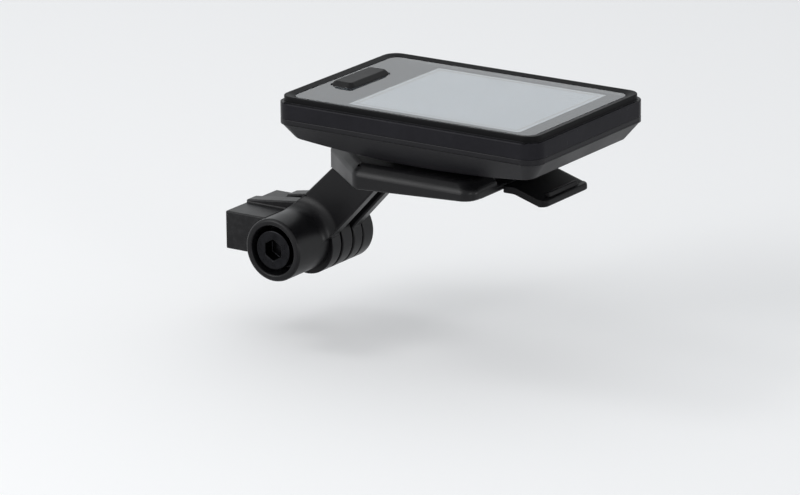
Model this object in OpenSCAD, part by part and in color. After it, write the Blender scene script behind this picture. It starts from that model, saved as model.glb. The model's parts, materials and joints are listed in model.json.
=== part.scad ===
// Cycling computer on an out-front mount, in millimetres.
// +X is the rider's right, +Y is forward and +Z is up.
// The origin is the middle of the base's rear face, between its two threaded inserts.

/* [Base] */
// From the base's rear face forward to the tilt axis
base_reach = 17.5; // [16.5:0.5:24]
// Width of the block that carries the inserts
base_w = 19; // [18:0.5:26]
// Height of the block
base_h = 8.4; // [8:0.2:12]
// Thickness of the tongue between the arm's ribs
tongue_t = 3.6; // [3:0.1:3.8]
// Height of the tongue at the rear face
tongue_tail_h = 9.6; // [8:0.2:12]
// Thickness of the prong that holds the nut
prong_t = 3.8; // [3.6:0.1:6]
// Distance between the two inserts
insert_spacing = 11; // [9:0.5:12]
// Outer radius of an insert
insert_r = 2.8; // [2.4:0.1:3.2]
// Length of an insert
insert_len = 6.5; // [5:0.5:8]
// Radius of the insert's threaded bore
insert_bore_r = 1.65; // [1.2:0.05:2]

/* [Hub] */
// Radius of the barrel on the tilt axis
hub_r = 6.9; // [6.8:0.1:8]
// Length of the boss on the arm's near side
boss_len = 11.4; // [8:0.2:14]
// Reach of the knuckle's ends past the barrel, forward and down
lobe_reach = 1.3; // [0.4:0.1:1.6]
// Radius of the fillet between the boss and the rib
boss_fillet = 3; // [1:0.2:4]
// Depth of the bolt head's recess
recess_depth = 6.2; // [6:0.1:7]
// Radius of the pivot bolt's shank
bolt_r = 2.5; // [2:0.1:2.6]
// Radius of the bolt's head
bolt_head_r = 4.25; // [3.5:0.05:4.5]
// Height of the bolt's head
bolt_head_h = 5; // [4:0.1:5.2]
// Key width of the bolt's socket
bolt_key = 4; // [3:0.5:4]
// Key width of the nut
nut_key = 8; // [7:0.5:8]
// Thickness of the nut
nut_t = 2.7; // [2.4:0.1:2.8]
// Radius of the washers on the pivot
washer_r = 5; // [4.6:0.1:5.2]
// Thickness of the washer under the bolt's head
washer_t = 0.8; // [0.5:0.1:0.8]

/* [Arm] */
// From the tilt axis forward to the middle of the computer
head_reach = 36.7; // [36:0.5:46]
// From the tilt axis up to the lens
head_rise = 35.3; // [34:0.5:40]
// Thickness of a rib
rib_t = 3.3; // [3:0.1:5]
// Gap between the two ribs
rib_gap = 4.8; // [4.6:0.1:6]
// Climb of the arm's rear edge
rear_angle = 44; // [40:1:45]
// Climb of the arm's lower edge
front_angle = 47; // [44:1:50]
// From the tilt axis to the line of the rear edge
rear_offset = 6.6; // [6:0.1:7.5]
// From the tilt axis to the line of the lower edge
front_offset = 4.5; // [4:0.1:6]
// Thickness of the web along the rear edge
web_t = 2.6; // [2:0.1:4]
// From the tilt axis along the arm to the start of the web
web_start = 9; // [8.8:0.1:11]

/* [Tray] */
// Width of the tray
tray_w = 40; // [36:0.5:43]
// From the middle of the computer to the tray's front edge
tray_front = 15.6; // [15.4:0.2:20]
// From the middle of the computer to where the tray starts to narrow
tray_shoulder = 13.7; // [12:0.2:16]
// From the middle of the computer to the tray's rear edge
tray_rear = 29; // [28:0.2:31]
// Drop from the lens to the tray's top
tray_drop = 12.2; // [12:0.1:14]
// Thickness of the tray at its front edge
tray_front_t = 3.9; // [3.8:0.1:6]
// Fall of the tray's underside towards the rear
tray_slope = 3; // [0:0.5:5]
// Bevel round the tray's top
tray_bevel = 1.8; // [1:0.1:2]
// Corner radius of the tray's front
tray_corner_r = 3; // [1:0.5:5]
// Thickness of the lips that hold the shoe down
lip_t = 1; // [0.8:0.1:1.2]

/* [Release tab] */
// Width of the flexing tongue
latch_w = 11; // [8:0.5:13]
// Thickness of the flexing tongue
latch_t = 1.1; // [0.8:0.1:1.1]
// Length of the flexing tongue
latch_len = 13; // [10:0.5:16]
// Height of the catch on the tongue
catch_h = 1.2; // [0.6:0.1:1.4]
// Length of the catch along the tongue
catch_len = 2; // [1:0.1:2.4]
// Width of the catch
catch_w = 7.4; // [5:0.2:8]
// Width of the finger tab
tab_w = 17; // [12:0.5:22]
// Length of the finger tab
tab_len = 10.4; // [9:0.2:14]
// Thickness of the finger tab
tab_t = 1.5; // [1.2:0.1:2]
// Drop of the finger tab to its tip
tab_drop = 1.8; // [1:0.1:3]
// Height of the grip ridge
ridge_h = 0.9; // [0.4:0.1:1]
// Width of the grip ridge
ridge_w = 11; // [6:0.5:12]
// From the finger tab's tip back to the grip ridge
ridge_back = 1.6; // [1.2:0.1:3]
// Length of the grip ridge at its foot
ridge_foot = 1.6; // [1:0.1:2]
// Length of the grip ridge at its crest
ridge_crest = 0.8; // [0.4:0.1:1]

/* [Case] */
// Length of the case
case_l = 64.6; // [63:0.2:72]
// Width of the case
case_w = 44; // [43:0.2:50]
// Radius of the case's upright corners
case_r = 3.9; // [3.6:0.1:6]
// Thickness of the case's walls
wall = 1.4; // [1.2:0.1:1.6]
// Width of the ledge outside the rim
ledge_w = 0.8; // [0.4:0.1:1]
// Width of the rim round the lens
rim_w = 1.9; // [1.4:0.1:2.2]
// Width of the rim's flat crest
crest_w = 0.3; // [0.2:0.1:0.5]
// Height of the rim above the lens
rim_h = 0.4; // [0.2:0.1:0.6]
// Drop from the lens to the ledge
ledge_drop = 0.9; // [0.4:0.1:1]
// Drop from the lens to the seam between the covers
seam_drop = 4.3; // [4:0.05:4.5]
// Upright band of the bottom cover under the seam
band_h = 1.1; // [0.8:0.1:1.3]
// Inward lean of the bottom cover for each millimetre of drop
lean = 0.78; // [0.7:0.02:0.9]
// Drop from the lens to the lowest line of the belly
belly_drop = 11.2; // [11:0.1:11.6]
// Radius of the belly's bow
belly_r = 200; // [180:5:400]
// Place of the belly's lowest line ahead of the middle
belly_y = 2; // [-4:0.5:6]

/* [Shoe] */
// Length of the shoe
shoe_len = 26; // [20:0.5:27]
// Width of the shoe's neck
shoe_neck_w = 14; // [10:0.5:16]
// Width of the shoe's flange
shoe_w = 19; // [17:0.5:22]
// Thickness of the shoe's flange
shoe_t = 1.1; // [0.9:0.05:1.2]
// Play of the shoe in the tray
shoe_play = 0.3; // [0.3:0.05:0.4]

/* [Display] */
// Thickness of the lens
lens_t = 1.2; // [0.8:0.1:1.4]
// Radius of the lens's corners
lens_r = 2.2; // [1.6:0.1:3]
// Gap between the lens and its rim
lens_gap = 0.1; // [0.05:0.05:0.2]
// Thickness of the black film under the lens
film_t = 0.15; // [0.1:0.05:0.2]
// Thickness of the deck that carries the lens
deck_t = 1; // [0.8:0.1:1.2]
// From the lens's rear edge to the picture
picture_rear = 12.8; // [12:0.1:16]
// From the lens's front edge to the picture
picture_front = 4.2; // [3:0.1:8]
// From the lens's sides to the picture
picture_side = 2.2; // [2:0.1:5]
// Thickness of the display glass
glass_t = 1.4; // [1.2:0.1:1.5]
// How far the display glass reaches past the picture
glass_border = 0.7; // [0.5:0.1:0.8]
// Thickness of the backlight
backlight_t = 0.8; // [0.6:0.1:0.9]
// Width of the contact strip at the display's rear edge
strip_w = 2; // [1.5:0.1:2.5]
// From the display glass's rear edge to the contact strip
strip_inset = 0.5; // [0.2:0.1:1]
// From the display glass's sides to the contact strip's ends
strip_end = 2; // [0.5:0.5:5]
// Thickness of the frame round the display
frame_t = 1.2; // [0.8:0.1:1.2]

/* [Button] */
// Length of the button across the case
button_l = 15; // [12:0.5:18]
// Width of the button along the case
button_w = 6; // [5.5:0.1:7]
// Height of the button above the lens
button_h = 0.9; // [0.8:0.1:1.6]
// Slope of the button's sides, measured across
button_bevel = 0.9; // [0.6:0.1:1.2]
// Radius of the button's corners
button_r = 1.5; // [1.5:0.1:2.5]
// From the lens's rear edge to the middle of the button
button_rear = 4.3; // [4.2:0.05:5]
// Gap round the button
button_gap = 0.2; // [0.1:0.05:0.3]
// Travel of the button
button_travel = 0.5; // [0.3:0.05:0.5]
// Radius of the switch's plunger
plunger_r = 1; // [0.8:0.1:1.3]
// Wall of the switch round its plunger
switch_wall = 1.1; // [0.8:0.1:1.4]
// How far the button's flange reaches past the button
flange_over = 1; // [0.6:0.1:1.2]
// Thickness of the button's flange
flange_t = 0.5; // [0.4:0.05:0.6]
// Thickness of the button's seal
seal_t = 0.3; // [0.2:0.05:0.3]
// How far the button's seal reaches past the flange
seal_over = 0.4; // [0.2:0.1:0.6]

/* [Electronics] */
// Thickness of the circuit board
board_t = 0.8; // [0.6:0.1:1]
// Gap between the board and the case wall
board_gap = 1.5; // [1.4:0.1:2]
// Side of the processor
processor_side = 7; // [5:0.5:8]
// Side of the radio chip
radio_side = 5; // [3:0.5:5]
// Height of the chips
chip_h = 1; // [0.7:0.1:1.2]
// From the case's middle line to the middle of the processor
processor_x = 7; // [6.5:0.1:7.5]
// Width of the memory chip
memory_w = 5; // [3:0.5:6]
// Length of the memory chip
memory_l = 4; // [3:0.5:4]
// Width of the clock crystal
crystal_w = 3.2; // [2:0.2:4]
// Length of the clock crystal
crystal_l = 1.6; // [1.2:0.2:2.4]
// From the case's middle line to the chips ahead of the battery
front_chip_x = 12; // [11:0.5:14]
// Gap between the chips and what lies beside them
chip_gap = 1.2; // [0.8:0.1:1.4]
// Radius of the buzzer
buzzer_r = 4.4; // [3.5:0.1:4.5]
// Height of the buzzer
buzzer_h = 1.7; // [1.2:0.1:2]
// From the case's middle line to the buzzer's edge
buzzer_inner = 4.2; // [4.2:0.1:5]
// Length of the antenna
antenna_l = 18; // [12:0.5:18]
// Width of the antenna
antenna_w = 2; // [1:0.2:2.4]
// Height of the antenna
antenna_h = 1.1; // [0.8:0.1:1.4]
// From the board's front edge to the antenna
antenna_inset = 1.4; // [0.8:0.1:1.6]
// Thickness of sheet metal parts
sheet_t = 0.3; // [0.2:0.05:0.4]

/* [Battery] */
// Width of the battery
cell_w = 27; // [20:0.5:30]
// Length of the battery
cell_l = 30; // [20:0.5:31]
// Thickness of the battery
cell_t = 2.8; // [2:0.1:2.8]
// Corner radius of the battery
cell_r = 1.2; // [0.6:0.1:2]
// From the middle of the case forward to the middle of the battery
cell_y = 3.1; // [2.4:0.1:3.4]
// Width of a battery tab
cell_tab_w = 3; // [2:0.5:4]
// Reach of a battery tab from the battery
cell_tab_reach = 2; // [1.5:0.1:2.2]
// Thickness of the foam pad over the battery
pad_t = 0.4; // [0.3:0.1:0.5]
// From the battery's edges to the foam pad's
pad_inset = 3; // [1:0.5:5]

/* [Charging port] */
// Width of the socket
socket_w = 7.4; // [6:0.2:9]
// Height of the socket
socket_h = 2.5; // [2:0.1:2.6]
// Length of the socket
socket_len = 5.6; // [4.6:0.1:6]
// Width of the port's cover
cover_w = 12; // [11.4:0.2:14]
// Gap round the port's cover
cover_gap = 0.15; // [0.1:0.05:0.25]
// Depth of the notch that takes the port's cover
cover_depth = 2.8; // [2.7:0.1:3.2]
// Thickness of the frame round the port
port_frame_t = 1.8; // [1.4:0.1:2]
// From the notch's wall in to the socket's mouth
socket_inset = 0.4; // [0.4:0.1:0.8]
// Length of the plug inside the port's cover
plug_len = 0.25; // [0.15:0.05:0.3]
// Height of the plug inside the port's cover
plug_h = 1.2; // [0.8:0.1:1.4]

/* [Screws] */
// Radius of a case screw's shank
screw_r = 0.9; // [0.7:0.05:1]
// Radius of a case screw's head
screw_head_r = 1.7; // [1.4:0.1:1.8]
// Height of a case screw's head
screw_head_h = 1; // [0.7:0.1:1.1]
// Radius of the posts that take the case screws
post_r = 2.2; // [1.9:0.1:2.4]
// From the case's side wall to a screw
screw_side = 6.2; // [5.7:0.1:7.7]
// From the case's rear wall to a screw
screw_rear = 8.2; // [7.5:0.1:9]
// Length of a case screw's shank
screw_len = 4; // [3:0.1:4.4]
// Depth of a case screw's head below the belly
head_recess = 0.3; // [0.3:0.05:0.5]
// Thickness of the seat under a case screw's head
seat_t = 1; // [0.8:0.1:1.2]
// How far a case screw's seat reaches past its post
seat_over = 0.4; // [0.3:0.1:0.6]
// Length of the cross cut in a case screw's head
drive_l = 2; // [1.4:0.1:2.4]
// Width of the cross cut in a case screw's head
drive_w = 0.4; // [0.3:0.05:0.6]

/* [Hidden] */
$fn = 64;
// Small overlap that keeps a cut from ending on a face
cut = 0.5;
// Radial clearance of a turning shank
run_gap = 0.05;
// Clearance between pieces that swing past each other
swing_gap = 0.3;
// Clearance between flat faces that turn on each other
face_gap = 0.1;
// Number of steps in a rounded outline's corner
arc_steps = 8;
// Corner radius of the bottom cover where its leaning sides end
belly_corner_r = 1;
// How far the leaning sides run on past the belly's lowest line
lean_over = 0.35;
// Thickness of the slices that a bevel is stretched between
slice = 0.01;
// Gap between thin layers that lie on each other, such as the button's flange and its seal
layer_gap = 0.05;
// Gap round the flexing tongue
slot_gap = 0.4;
// Direction in which the knuckle's ends reach past the barrel
lobe_angle = -49;
// How far the tray's narrow end reaches past the ribs
neck_over = 0.4;
// Step above and below the port's cover
cover_lip = 0.2;
// Gap between the board and the port's frame
frame_gap = 0.6;
// Corner radius of the picture's window
window_r = 0.5;
// Corner radius of the display glass
glass_r = 0.3;
// Corner radius of the foam pad
pad_r = 1;
// From the case's middle line to a hook, and the hook's width and thickness
hook_x = 11;
hook_w = 5;
hook_t = 1;
// Drop from the deck to a hook's top, and how far the hook runs down into the wall
hook_drop = 0.4;
hook_root = 1;
// Height of a hook's nib and how far it reaches into the wall
nib_h = 0.4;
nib_reach = 0.15;

hub = [base_reach, 0];
head = [0, base_reach + head_reach, head_rise];
arm_half_w = rib_gap / 2 + rib_t;
boss_end = arm_half_w + boss_len;
prong_in = arm_half_w + swing_gap;
prong_out = prong_in + prong_t;
recess_r = washer_r + slot_gap;
bolt_seat = boss_end - recess_depth + face_gap + washer_t;
base_front = base_reach - rear_offset - 2 * swing_gap;
slip_washer_t = (rib_gap - tongue_t) / 2 - face_gap;

lens_w = case_w - 2 * (ledge_w + rim_w + lens_gap);
lens_l = case_l - 2 * (ledge_w + rim_w + lens_gap);
film_z = -lens_t;
deck_z = film_z - film_t;
under_z = deck_z - deck_t;
glass_z = under_z - glass_t;
board_z = glass_z - backlight_t;
board_under = board_z - board_t;
seam_z = -seam_drop;
lean_z = seam_z - band_h;
floor_z = -belly_drop;
lean_h = lean_z - floor_z + lean_over;

picture_w = lens_w - 2 * picture_side;
picture_l = lens_l - picture_rear - picture_front;
picture_y = (picture_rear - picture_front) / 2;
glass_w = picture_w + 2 * glass_border;
glass_l = picture_l + 2 * glass_border;
glass_rear = picture_y - glass_l / 2;
strip_rear = glass_rear + strip_inset;
strip_front = strip_rear + strip_w;

button_y = -lens_l / 2 + button_rear;
flange_top = under_z - seal_t - layer_gap;
flange_bottom = flange_top - flange_t;

screw_x = case_w / 2 - screw_side;
screw_y = -case_l / 2 + screw_rear;
belly_at_screw = floor_z + belly_r - sqrt(pow(belly_r, 2) - pow(screw_y - belly_y, 2));
under_head = belly_at_screw + head_recess + screw_head_h;
screw_seat = under_head + seat_t;

board_w = case_w - 2 * (wall + board_gap);
board_l = case_l - 2 * (wall + board_gap);
cell_top = board_under - pad_t;
cell_rear = cell_y - cell_l / 2;
cell_front = cell_y + cell_l / 2;

tray_top = -tray_drop;
lip_z = tray_top - lip_t;
shoe_top = lip_z - shoe_play;
shoe_bottom = shoe_top - shoe_t;
channel_z = shoe_bottom - shoe_play;
tray_fall = tan(tray_slope) * (tray_front + tray_rear);
tray_deep = tray_top - tray_front_t - tray_fall;
latch_end = tray_front + slot_gap;
latch_root = latch_end - latch_len;
catch_rear = shoe_len / 2 + shoe_play;

socket_top = board_under;
cover_top = lean_z - 2 * cover_lip;
cover_bottom = socket_top - socket_h - face_gap - cover_lip;
port_wall = case_l / 2 - cover_depth;
port_inner = port_wall - port_frame_t;
port_half = cover_w / 2 + port_frame_t;
port_frame_top = flange_bottom - button_travel - swing_gap;
socket_mouth = port_wall - socket_inset;
board_notch = port_inner - frame_gap;
switch_side = 2 * (plunger_r + switch_wall);
switch_y = -board_notch + swing_gap + switch_side / 2;
groove_inset = wall / 4;
groove_w = wall / 2;
hook_front = case_l / 2 - wall - face_gap;

function unit(v) = v / norm(v);
function turned(v, a) = [v[0] * cos(a) - v[1] * sin(a), v[0] * sin(a) + v[1] * cos(a)];

// Points of one corner of an outline, rounded to radius r
function corner(a, b, c, r) =
  let (
    u = unit(a - b),
    v = unit(c - b),
    half = acos(u * v) / 2,
    centre = b + unit(u + v) * r / sin(half),
    start = b + u * r / tan(half) - centre,
    end = b + v * r / tan(half) - centre,
    sweep = atan2(cross(start, end), start * end)
  )
  r <= 0 ? [b] : [for (i = [0 : arc_steps]) centre + turned(start, sweep * i / arc_steps)];

// An outline given as [[x, y, corner radius], ...], with its corners rounded
function rounded(pts) =
  let (n = len(pts), flat = [for (p = pts) [p[0], p[1]]])
  [for (i = [0 : n - 1]) each corner(flat[(i + n - 1) % n], flat[i], flat[(i + 1) % n], pts[i][2])];

// A point of a line at angle a that passes off to the left of the tilt axis
function on_line(a, off, t) = [-sin(a) * off + cos(a) * t, cos(a) * off + sin(a) * t];
// The same line, at height z
function at_height(a, off, z) = on_line(a, off, (z - cos(a) * off) / sin(a));

module at_head() {
  translate(head)
    children();
}

module at_hub() {
  translate([0, hub[0], hub[1]])
    children();
}

// Extrudes an outline drawn in Y and Z from x0 to x1
module along_x(x0, x1) {
  translate([x0, 0, 0])
    rotate([90, 0, 90])
      linear_extrude(x1 - x0)
        children();
}

// Extrudes an outline drawn in X and Z from y0 to y1
module along_y(y0, y1) {
  translate([0, y1, 0])
    rotate([90, 0, 0])
      linear_extrude(y1 - y0)
        children();
}

module rod(x0, x1, r) {
  translate([x0, 0, 0])
    rotate([0, 90, 0])
      cylinder(h = x1 - x0, r = r);
}

module block(x0, x1, y0, y1, z0, z1) {
  translate([x0, y0, z0])
    cube([x1 - x0, y1 - y0, z1 - z0]);
}

module round_rect(w, l, r) {
  square([w - 2 * r, l], center = true);
  square([w, l - 2 * r], center = true);
  for (x = [-1, 1], y = [-1, 1])
    translate([x * (w / 2 - r), y * (l / 2 - r)])
      circle(r);
}

module slab(w, l, r, z0, z1) {
  translate([0, 0, z0])
    linear_extrude(z1 - z0)
      round_rect(w, l, r);
}

module ring(w, l, r, t, z0, z1) {
  difference() {
    slab(w, l, r, z0, z1);
    slab(w - 2 * t, l - 2 * t, r - t, z0 - cut, z1 + cut);
  }
}

// A slab whose sides lean in by inset from z_wide to z_narrow
module leaning_slab(w, l, r, inset, z_wide, z_narrow) {
  r_low = z_wide < z_narrow ? r : r - inset;
  r_high = z_wide < z_narrow ? r - inset : r;
  for (x = [-1, 1], y = [-1, 1])
    translate([x * (w / 2 - r), y * (l / 2 - r), min(z_wide, z_narrow)])
      cylinder(h = abs(z_wide - z_narrow), r1 = r_low, r2 = r_high);
  along_x(-w / 2 + r, w / 2 - r)
    lean_outline(l, inset, z_wide, z_narrow);
  along_y(-l / 2 + r, l / 2 - r)
    lean_outline(w, inset, z_wide, z_narrow);
}

module lean_outline(width, inset, z_wide, z_narrow) {
  wide = width / 2;
  narrow = wide - inset;
  polygon([[-wide, z_wide], [wide, z_wide], [narrow, z_narrow], [-narrow, z_narrow]]);
}

// The solid outside of the bottom cover, inset by t
module bottom_solid(t) {
  h = lean_h - t;
  side = t + lean * h;
  intersection() {
    hull() {
      translate([0, 0, lean_z - slice])
        linear_extrude(slice)
          round_rect(case_w - 2 * t, case_l - 2 * t, case_r - t);
      translate([0, 0, lean_z - h])
        linear_extrude(slice)
          round_rect(case_w - 2 * side, case_l - 2 * side, belly_corner_r);
    }
    translate([0, belly_y, floor_z + belly_r])
      rod(-case_w, case_w, belly_r - t);
  }
}

module stem_base() {
  color("#1c1c1e")
    difference() {
      union() {
        block(-base_w / 2, base_w / 2, 0, base_front, -base_h / 2, base_h / 2);
        along_x(-tongue_t / 2, tongue_t / 2)
          tongue_outline(0);
        along_x(-prong_out, -prong_in)
          tongue_outline(base_front / 2);
        at_hub() {
          lobe(-tongue_t / 2, tongue_t / 2);
          lobe(-prong_out, -prong_in);
        }
      }
      at_hub()
        rod(-prong_out - cut, tongue_t / 2 + cut, bolt_r + run_gap);
      at_hub()
        nut_hex(-prong_out - cut, -prong_out + nut_t + face_gap, nut_key + 2 * face_gap);
      for (x = [-1, 1])
        translate([x * insert_spacing / 2, 0, 0])
          insert_body(insert_r, -cut, insert_len);
    }
}

// The round end that reaches past the barrel, forward and down
module lobe(x0, x1) {
  translate([0, lobe_reach * cos(lobe_angle), lobe_reach * sin(lobe_angle)])
    rod(x0, x1, hub_r);
}

// The side of a knuckle: round on the tilt axis, with a tail back to y0
module tongue_outline(y0) {
  translate(hub)
    circle(hub_r);
  polygon([[y0, tongue_tail_h / 2], [y0, -tongue_tail_h / 2], [hub[0], -hub_r], [hub[0], hub_r]]);
}

module nut_hex(x0, x1, key) {
  translate([x0, 0, 0])
    rotate([0, 90, 0])
      cylinder(h = x1 - x0, r = key / 2 / cos(30), $fn = 6);
}

module insert_body(r, y0, y1) {
  translate([0, y0, 0])
    rotate([-90, 0, 0])
      cylinder(h = y1 - y0, r = r);
}

module base_inserts() {
  color("#b8963e")
    for (x = [-1, 1])
      translate([x * insert_spacing / 2, 0, 0])
        difference() {
          insert_body(insert_r, 0, insert_len);
          insert_body(insert_bore_r, -cut, insert_len + cut);
        }
}

module pivot_bolt() {
  socket_depth = bolt_head_h / 2;
  color("#2b2b2d")
    at_hub()
      difference() {
        union() {
          rod(-prong_out, bolt_seat + cut, bolt_r);
          rod(bolt_seat, bolt_seat + bolt_head_h, bolt_head_r);
        }
        nut_hex(bolt_seat + bolt_head_h - socket_depth, bolt_seat + bolt_head_h + cut, bolt_key);
      }
}

module bolt_washer() {
  color("#3a3a3c")
    at_hub()
      difference() {
        rod(bolt_seat - washer_t, bolt_seat, washer_r);
        rod(bolt_seat - washer_t - cut, bolt_seat + cut, bolt_r + run_gap);
      }
}

module pivot_nut() {
  color("#8c8c90")
    at_hub()
      difference() {
        nut_hex(-prong_out, -prong_out + nut_t, nut_key);
        rod(-prong_out - cut, -prong_out + nut_t + cut, bolt_r + run_gap);
      }
}

module friction_washers() {
  color("#d8d4c8")
    at_hub()
      for (x = [-tongue_t / 2 - slip_washer_t, tongue_t / 2])
        difference() {
          rod(x, x + slip_washer_t, washer_r);
          rod(x - cut, x + slip_washer_t + cut, bolt_r + run_gap);
        }
}

// Side of a rib, drawn from the tilt axis
module rib_outline() {
  top = head_rise + tray_top - tray_bevel;
  polygon([
    on_line(rear_angle, rear_offset, 0),
    at_height(rear_angle, rear_offset, top),
    at_height(front_angle, -front_offset, top),
    on_line(front_angle, -front_offset, 0)
  ]);
}

// The open space between the ribs, drawn from the tilt axis
module rib_gap_outline() {
  top = head_rise + tray_deep;
  reach = 2 * hub_r;
  circle(hub_r + lobe_reach + 2 * swing_gap);
  polygon([
    on_line(rear_angle, rear_offset + cut, 0),
    on_line(rear_angle, rear_offset + cut, web_start),
    on_line(rear_angle, rear_offset - web_t, web_start),
    at_height(rear_angle, rear_offset - web_t, top),
    at_height(front_angle, -front_offset - reach, top),
    on_line(front_angle, -front_offset - reach, 0)
  ]);
}

// The tray seen from above, drawn from the middle of the computer and inset by t
module tray_outline(t) {
  half = tray_w / 2 - t;
  neck = arm_half_w + neck_over - t / 2;
  r = tray_corner_r;
  polygon(rounded([
    [half, -tray_shoulder + t / 2, r], [half, tray_front - t, r],
    [-half, tray_front - t, r], [-half, -tray_shoulder + t / 2, r],
    [-neck, -tray_rear + t, r / 2], [neck, -tray_rear + t, r / 2]
  ]));
}

module tray_solid() {
  wall_top = tray_top - tray_bevel;
  difference() {
    union() {
      translate([0, 0, tray_deep])
        linear_extrude(wall_top - tray_deep)
          tray_outline(0);
      hull() {
        translate([0, 0, wall_top - slice])
          linear_extrude(slice)
            tray_outline(0);
        translate([0, 0, tray_top - slice])
          linear_extrude(slice)
            tray_outline(tray_bevel);
      }
    }
    along_x(-tray_w, tray_w)
      polygon([
        [tray_front + cut, tray_top - tray_front_t], [tray_front + cut, tray_deep - cut],
        [-tray_rear, tray_deep - cut], [-tray_rear, tray_deep]
      ]);
  }
}

// The way that the shoe slides along, with the slot round the flexing tongue
module tray_channel() {
  rear = -shoe_len / 2 - shoe_play;
  neck = shoe_neck_w / 2 + shoe_play;
  half = shoe_w / 2 + shoe_play;
  slot = latch_w / 2 + slot_gap;
  block(-neck, neck, rear, tray_front + cut, lip_z - cut, tray_top + cut);
  block(-half, half, rear, tray_front + cut, channel_z, lip_z);
  block(-slot, slot, latch_root, tray_front + cut, tray_deep - cut, channel_z + cut);
}

// The fillet round the foot of the boss, as far as the rib's side reaches
module boss_flare() {
  intersection() {
    translate([arm_half_w, 0, 0])
      rotate([0, 90, 0])
        rotate_extrude()
          difference() {
            translate([hub_r - cut, -cut])
              square([boss_fillet + cut, boss_fillet + cut]);
            translate([hub_r + boss_fillet, boss_fillet])
              circle(boss_fillet);
          }
    along_x(arm_half_w - cut, arm_half_w + boss_fillet)
      rib_outline();
  }
}

module mount_arm() {
  color("#202022")
    difference() {
      union() {
        at_hub() {
          along_x(-arm_half_w, arm_half_w)
            rib_outline();
          lobe(-arm_half_w, arm_half_w);
          rod(-arm_half_w, boss_end, hub_r);
          boss_flare();
        }
        at_head()
          tray_solid();
      }
      at_head()
        tray_channel();
      at_hub() {
        along_x(-rib_gap / 2, rib_gap / 2)
          rib_gap_outline();
        rod(-arm_half_w - cut, boss_end + cut, bolt_r + run_gap);
        rod(boss_end - recess_depth, boss_end + cut, recess_r);
      }
    }
}

module latch_tongue() {
  half = latch_w / 2;
  color("#242426")
    at_head() {
      block(-half, half, latch_root, latch_end, channel_z - latch_t, channel_z);
      along_x(-catch_w / 2, catch_w / 2)
        polygon([
          [catch_rear, channel_z - latch_t / 2], [catch_rear + catch_len, channel_z - latch_t / 2],
          [catch_rear + catch_len, channel_z], [catch_rear + catch_len / 2, channel_z + catch_h],
          [catch_rear, channel_z + catch_h]
        ]);
    }
}

module release_tab() {
  flat = tab_len / 4;
  tip = latch_end + tab_len;
  top = channel_z - face_gap;
  edge_r = tab_t / 3;
  ridge_y = tip - ridge_back;
  ridge_low = top - tab_drop - tab_t / 2;
  ridge_high = top - tab_drop + ridge_h;
  color("#19191b")
    at_head() {
      along_x(-tab_w / 2, tab_w / 2)
        polygon(rounded([
          [latch_end, top, 0], [latch_end + flat, top, flat],
          [tip - flat / 2, top - tab_drop, flat / 2], [tip, top - tab_drop, edge_r],
          [tip, top - tab_drop - tab_t, edge_r], [tip - flat / 2, top - tab_drop - tab_t, flat / 2],
          [latch_end + flat, top - tab_t, flat], [latch_end, top - tab_t, 0]
        ]));
      along_x(-ridge_w / 2, ridge_w / 2)
        polygon([
          [ridge_y - ridge_foot / 2, ridge_low], [ridge_y + ridge_foot / 2, ridge_low],
          [ridge_y + ridge_crest / 2, ridge_high], [ridge_y - ridge_crest / 2, ridge_high]
        ]);
    }
}

// The openings that the button passes through
module button_hole(z0, z1) {
  translate([0, button_y, 0])
    slab(button_l + 2 * button_gap, button_w + 2 * button_gap, button_r + button_gap, z0, z1);
}

module top_cover() {
  rim_out = 2 * ledge_w;
  rim_slope = rim_w - crest_w;
  pocket_w = lens_w + 2 * lens_gap;
  pocket_l = lens_l + 2 * lens_gap;
  pocket_r = lens_r + lens_gap;
  color("#161617")
    at_head()
      difference() {
        union() {
          difference() {
            union() {
              slab(case_w, case_l, case_r, seam_z, -ledge_drop);
              slab(case_w - rim_out, case_l - rim_out, case_r - ledge_w, -ledge_drop - cut, rim_h);
            }
            slab(pocket_w, pocket_l, pocket_r, deck_z, rim_h + cut);
            leaning_slab(pocket_w + 2 * rim_slope, pocket_l + 2 * rim_slope, pocket_r + rim_slope, rim_slope,
              rim_h + slice, 0);
            slab(case_w - 2 * wall, case_l - 2 * wall, case_r - wall, seam_z - cut, under_z);
            translate([0, picture_y, 0])
              slab(picture_w + glass_border, picture_l + glass_border, window_r, under_z - cut, 0);
            button_hole(under_z - cut, rim_h);
          }
          for (x = [-1, 1])
            translate([x * screw_x, screw_y, screw_seat])
              cylinder(h = under_z - screw_seat + cut / 2, r = post_r);
        }
        for (x = [-1, 1])
          translate([x * screw_x, screw_y, screw_seat - cut])
            cylinder(h = screw_len + cut, r = screw_r + run_gap);
        seam_ring(seam_z - cut, seam_z + groove_w);
        for (x = [-1, 1])
          hook_nib(x, face_gap);
      }
}

// The ring of the seal that runs along the seam
module seam_ring(z0, z1) {
  w = case_w - 2 * groove_inset;
  l = case_l - 2 * groove_inset;
  ring(w, l, case_r - groove_inset, groove_w, z0, z1);
}

// The nib of one of the two hooks at the front, grown by a clearance
module hook_nib(side, gap) {
  x = side * hook_x;
  half = hook_w / 2 + gap;
  top = under_z - hook_drop;
  tip = case_l / 2 - wall + nib_reach;
  block(x - half, x + half, hook_front - hook_t / 2, tip + gap, top - nib_h - gap, top + gap);
}

module lens() {
  color("#aab4bd", 0.5)
    at_head()
      difference() {
        slab(lens_w, lens_l, lens_r, film_z, 0);
        button_hole(film_z - cut, cut);
      }
}

module lens_film() {
  color("#0d0e10")
    at_head()
      difference() {
        slab(lens_w, lens_l, lens_r, deck_z, film_z);
        translate([0, picture_y, 0])
          slab(picture_w, picture_l, window_r, deck_z - cut, 0);
        button_hole(deck_z - cut, cut);
      }
}

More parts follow.
